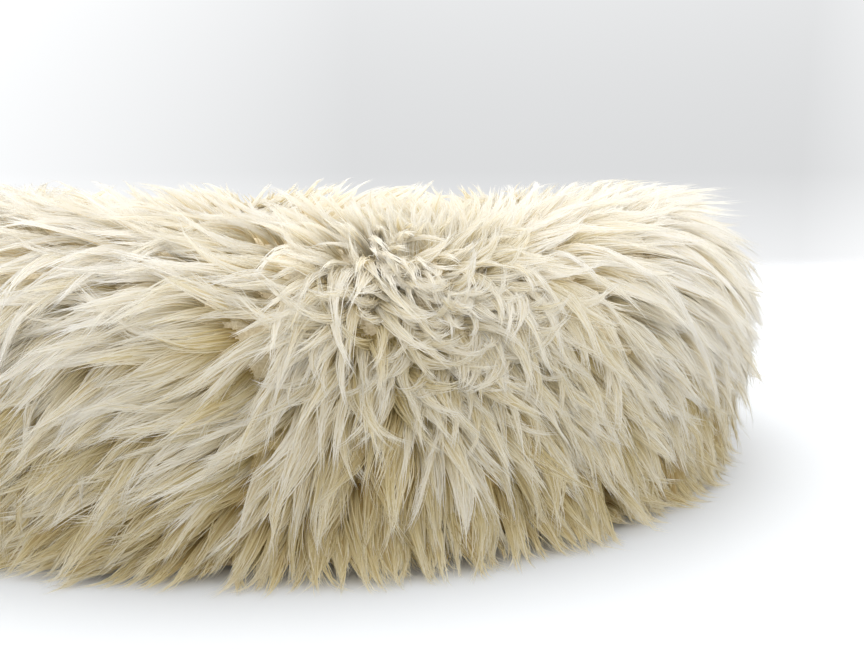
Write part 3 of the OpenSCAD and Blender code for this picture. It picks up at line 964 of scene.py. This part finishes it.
def skin_of(case, name, keep, outward, thick, node):
    """The part of a case where keep(x, y, z) holds, moved outwards and given a thickness."""
    mesh = case.data
    points = np.empty(len(mesh.vertices) * 3, np.float32)
    mesh.vertices.foreach_get("co", points)
    normals = np.empty(len(points), np.float32)
    mesh.vertices.foreach_get("normal", normals)
    points, normals = points.reshape(-1, 3).astype(float), normals.reshape(-1, 3).astype(float)
    faces = np.empty(len(mesh.polygons) * 4, np.int32)
    mesh.polygons.foreach_get("vertices", faces)
    faces = faces.reshape(-1, 4)
    middle = points[faces].mean(1)
    faces = faces[keep(*middle.T)]
    used, faces = np.unique(faces, return_inverse=True)
    faces = faces.reshape(-1, 4)
    outer = points[used] + normals[used] * (outward + thick)
    inner = points[used] + normals[used] * outward
    edges = np.concatenate([faces[:, [i, (i + 1) % 4]] for i in range(4)])
    _, first, count = np.unique(np.sort(edges, axis=1), axis=0, return_index=True, return_counts=True)
    open_edges = edges[first[count == 1]]
    a, b = open_edges.T
    rim = np.stack([b, a, a + len(used), b + len(used)], -1)
    quads = np.concatenate([faces, faces[:, ::-1] + len(used), rim])
    made = mesh_from(name, np.concatenate([outer, inner]), quads.ravel(), np.full(len(quads), 4))
    a, b, _, d = points[used][faces].transpose(1, 0, 2)
    area = float(np.linalg.norm(np.cross(b - a, d - a), axis=1).sum())
    return add_piece(name, made, canvas_flat, "cushion", node), area


# ---------------------------------------------------------------- build
make_camera()
wool_look = wool_material()
underwool_look = underwool_material()
SECTORS = {"front": 270, "right": 0, "rear": 90, "left": 180}
OUTER_SPACING = {"front": 10.4, "right": 10.8, "left": 11.2, "rear": 11.4}
for i, (side, az) in enumerate(SECTORS.items()):
    hem = rear_hem_z if side == "rear" else hem_z
    low_s = float(np.interp(-(hem + 2 * MM), -ring_outline.z[36:], ring_outline.s[36:]))
    for part, (a, b) in {"outer": (0.0, low_s), "inner": (ring_outline.s[0] + 6 * MM, 0.0)}.items():
        shell = hide_shell(f"hide_{part}_{side}", az, a, b)
        node = f"ring_{part}_panel_{side}"
        under = add_piece(shell.name, shell, underwool_look, "nest", node)
        spacing = (OUTER_SPACING[side] if part == "outer" else 12.2) * MM
        locks = ring_wool(f"wool_{part}_{side}", az, a, b, 100 * i + (part == "inner"), spacing, node)
        wide = math.pi / 2 * (ring_r + (tube_r if part == "outer" else 0))
        cut = sum(face.area for face in shell.polygons) / 2
        area = min(cut, wide * (b - a))


def make_stage():
    wide, far = 5, 1.9
    mesh = bpy.data.meshes.new("floor")
    corners = [(-wide, -wide, 0), (wide, -wide, 0), (wide, far, 0), (-wide, far, 0)]
    mesh.from_pydata(corners, [], [(0, 1, 2, 3)])
    floor = link("floor", mesh)
    look = Look("floor_white", 0.6, Base_Color=(0.59, 0.6, 0.61, 1))
    # the far edge of the table melts into the background
    reach = {"Value": look.place()[1]["Y"], "From Min": 0.95, "From Max": far - 0.02}
    fade = look.add("MapRange", reach, interpolation_type="SMOOTHSTEP").outputs[0]
    look.surface(look.blend(fade, look.shader.outputs[0], look.add("BsdfTransparent").outputs[0]))
    mesh.materials.append(look.material)
    world = bpy.data.worlds.new("studio")
    bpy.context.scene.world = world
    world.use_nodes = True
    studio = Graph(world.node_tree)
    maths, parts = studio.maths, studio.place("Generated")[1]
    # dim behind the camera, bright behind the bed and to its left, brightest overhead
    behind = maths("MULTIPLY_ADD", parts["Y"], 0.20, 0.54)
    left = maths("MULTIPLY_ADD", maths("MAXIMUM", maths("MULTIPLY", parts["X"], -1.0), -0.05), 0.82, 0.041)
    high = maths("MULTIPLY", maths("POWER", maths("MAXIMUM", parts["Z"], 0.0), 1.5), 1.5)
    low = maths("MINIMUM", maths("MAXIMUM", maths("MULTIPLY", parts["Z"], -2.4), 0.0), 0.2)
    right = maths("MULTIPLY", maths("MAXIMUM", maths("SUBTRACT", parts["X"], 0.44), 0.0), 2.0)
    strength = maths("ADD", maths("ADD", behind, left), maths("ADD", maths("ADD", high, low), right))
    # the camera sees a backdrop that is never darker than a light grey
    seen = studio.add("LightPath").outputs["Is Camera Ray"]
    lit = maths("MULTIPLY", strength, maths("MULTIPLY_ADD", seen, -0.25, 1.25))
    background = studio.nodes["Background"]
    studio.feed(background.inputs["Strength"], maths("MAXIMUM", lit, maths("MULTIPLY", seen, 0.66)))
    background.inputs["Color"].default_value = (0.98, 0.99, 1.0, 1)


def area_light(name, place, target, size, power):
    data = bpy.data.lights.new(name, "AREA")
    data.size, data.energy = size, power
    lamp = bpy.data.objects.new(name, data)
    bpy.context.scene.collection.objects.link(lamp)
    lamp.location = place
    lamp.rotation_euler = (Vector(target) - Vector(place)).to_track_quat("-Z", "Y").to_euler()


make_stage()
area_light("key", (-0.9, 0.7, 1.7), (0, 0, 0.1), 2.4, 8)
bpy.context.scene.view_settings.view_transform = "Standard"
bpy.context.scene.cycles.diffuse_bounces = 8


canvas = woven("canvas", (0.50, 0.41, 0.27), (0.66, 0.57, 0.41), 0.9 * MM)
canvas_flat = woven("canvas_flat", (0.50, 0.41, 0.27), (0.66, 0.57, 0.41), 0.9 * MM, False)
tape = woven("zip_tape", (0.62, 0.54, 0.40), (0.78, 0.71, 0.57), 0.6 * MM, twill=True)
label_cloth = woven("label", (0.80, 0.79, 0.75), (0.93, 0.92, 0.89), 0.35 * MM)
cotton = woven("cotton", (0.80, 0.78, 0.72), (0.90, 0.88, 0.83), 0.6 * MM, False)
piped = woven("piping", (0.40, 0.31, 0.19), (0.55, 0.45, 0.30), 0.7 * MM)
fibre = spotted("fibre", (0.84, 0.84, 0.83), (0.94, 0.94, 0.93), 300, 0.95)
foam = spotted("foam", (0.70, 0.66, 0.50), (0.82, 0.78, 0.62), 900, 0.95)
silicone = spotted("silicone", (0.55, 0.55, 0.53), (0.66, 0.66, 0.64), 140, 0.45, 0.0001)
nylon = spotted("zip_coil", (0.72, 0.64, 0.48), (0.82, 0.75, 0.60), 500, 0.4, 0.00005)
brass = spotted("zip_metal", (0.42, 0.29, 0.13), (0.60, 0.44, 0.22), 420, 0.35, 0.00008, Metallic=1.0)
thread = spotted("thread", (0.72, 0.64, 0.48), (0.84, 0.77, 0.62), 1500, 0.8, 0.0001)

# the CAD nodes that keep their shape
KEPT = (
    (cotton, "cotton", ("ring_liner", "base_welt_cord", "cushion_welt_cord")),
    (fibre, "fibre", ("ring_fill", "cushion_fill")),
    (tape, "canvas", ("crest_stay_tape",)),
    (foam, "foam", ("base_foam",)),
    (silicone, "silicone", ("non_slip_pads",)),
    (canvas_flat, "canvas", ("base_panel", "floor_panel")),
    (tape, "zip_tape", ("zip_tape_lower", "zip_tape_upper")),
    (brass, "zip_metal", ("zip_stop_start", "zip_stop_end", "zip_slider", "zip_pull")),
)
for material, slot, nodes in KEPT:
    for node in nodes:
        piece = bpy.data.objects[node]
        piece.data.materials.clear()
        piece.data.materials.append(material)
for node in ("base_panel", "floor_panel"):
    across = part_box(node)[1].x * 2
    area = math.pi * across**2 / 4
for node in ("zip_tape_lower", "zip_tape_upper"):
    low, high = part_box(node)

half_seam = 0.02                                          # degrees
cloth_band("base_band", 135 + half_seam, 405 - half_seam, 0.35 * MM)
cloth_band("zip_facing_lower", 45 + half_seam, 135 - half_seam, 0.12 * MM)
cloth_band("zip_facing_upper", 45 + half_seam, 135 - half_seam, 0.2 * MM)
zip_low, zip_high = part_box("zip_facing_lower")[1].z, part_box("zip_facing_upper")[0].z
for name, a, b in (("zip_end_start", 45.1, 50.6), ("zip_end_end", 129.4, 134.9)):
    radius, low_z, high_z = band_out - 0.9 * MM, zip_low - 0.5 * MM, zip_high + 0.5 * MM
    az, z = np.meshgrid(np.radians(np.linspace(a, b, 16)), np.linspace(low_z, high_z, 6), indexing="ij")
    tab = closed_grid(name, *[polar(r, az, z) for r in (radius + 0.4 * MM, radius - 0.4 * MM)])
    tab = add_piece(name, tab, canvas, "nest", "zip_facing_upper")
piping("base_welt_sleeve", "nest", 81)
coil("zip_coil_lower")
coil("zip_coil_upper")
rows = {
    "stitch_low": (zip_low - 1.4 * MM, 46, 134),
    "stitch_high": (zip_high + 1.4 * MM, 46, 134),
    "stitch_hem": (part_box("base_band")[0].z + 4.5 * MM, 136, 404),
}
for name, (z, a, b) in rows.items():
    stitches(name, ring_path(band_out + 0.25 * MM, z, a, b, 1200), 2.4 * MM, 3.2 * MM, 0.7 * MM)

label_az = math.radians(132.4)
low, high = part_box("care_label")
half = math.radians(1.93)
a, z = np.meshgrid(label_az + np.linspace(-half, half, 13), np.linspace(low.z, high.z, 11), indexing="ij")
curl = np.clip((a - label_az) / half, 0, 1) ** 2 * 0.8 * MM
curl = curl * np.clip(1 - (z - low.z) / (high.z - low.z), 0, 1)
label = closed_grid("label_cloth", *[polar(band_out + off + curl, a, z) for off in (0.7 * MM, 0.25 * MM)])
label = add_piece("label_cloth", label, label_cloth, "nest", "care_label")

# the cushion: a simulated case, its canvas underside, and the wool over its top
case = puffed("cushion_liner", "cushion_case", 6 * MM, 0.18, 4 * MM)
seam_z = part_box("cushion_welt_sleeve")[1].z
FLAPS = {
    "cushion_base_flap_short": lambda x, y, z: (z < seam_z) & (y > -45 * MM),
    "cushion_base_flap_long": lambda x, y, z: (z < seam_z) & (y < 45 * MM),
}
for node, keep in FLAPS.items():
    gap = 0.3 * MM if node.endswith("short") else 1.6 * MM
    flap, area = skin_of(case, f"cloth_{node}", keep, gap, 1.0 * MM, node)
    wide = 2 * cushion_core_r + 0.06
piping("cushion_welt_sleeve", "cushion", 82)

tree = BVHTree.FromObject(case, bpy.context.evaluated_depsgraph_get())


def cushion_lift_of(q):
    """How much higher or lower the simulated case is than the outline, where the wool is rooted."""
    place = cushion_place(q)[0]
    lift = np.zeros(len(q))
    for i, (x, y, z) in enumerate(place):
        over = math.hypot(x, y) < cushion_core_r - 12 * MM
        hit = tree.ray_cast((x, y, 1.0), (0, 0, -1))[0] if over else None
        lift[i] = 0 if hit is None else np.clip(hit.z + skin - z, -6 * MM, 3 * MM)
    return lift


hide_q = np.linspace(0, cushion_outline.s[-1], 60)
a = np.linspace(0, TAU, 150, endpoint=False)
q = np.stack(np.meshgrid(a, hide_q[1:], indexing="ij"), -1)
q = np.stack([q[..., 1] * np.cos(q[..., 0]), q[..., 1] * np.sin(q[..., 0])], -1)
place, normal, _, _ = cushion_place(q)
place[..., 2] += cushion_lift_of(q.reshape(-1, 2)).reshape(q.shape[:2])
pile = (5 + 1.5 * ripple(place, 0.03, 5)) * MM
outer, inner = place + normal * pile[..., None], place + normal * 0.6 * MM
top_hide = closed_grid("hide_cushion", outer, inner, closed=True)
top_hide = add_piece("hide_cushion", top_hide, underwool_look, "cushion", "cushion_top_panel")
tufts = cushion_wool(7, 10.4 * MM, cushion_lift_of)
reach = 2 * cushion_outline.s[-1]
area = math.pi * reach**2 / 4
case.data.materials.clear()
case.data.materials.append(cotton)
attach(case, "cushion")
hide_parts("cushion_liner")
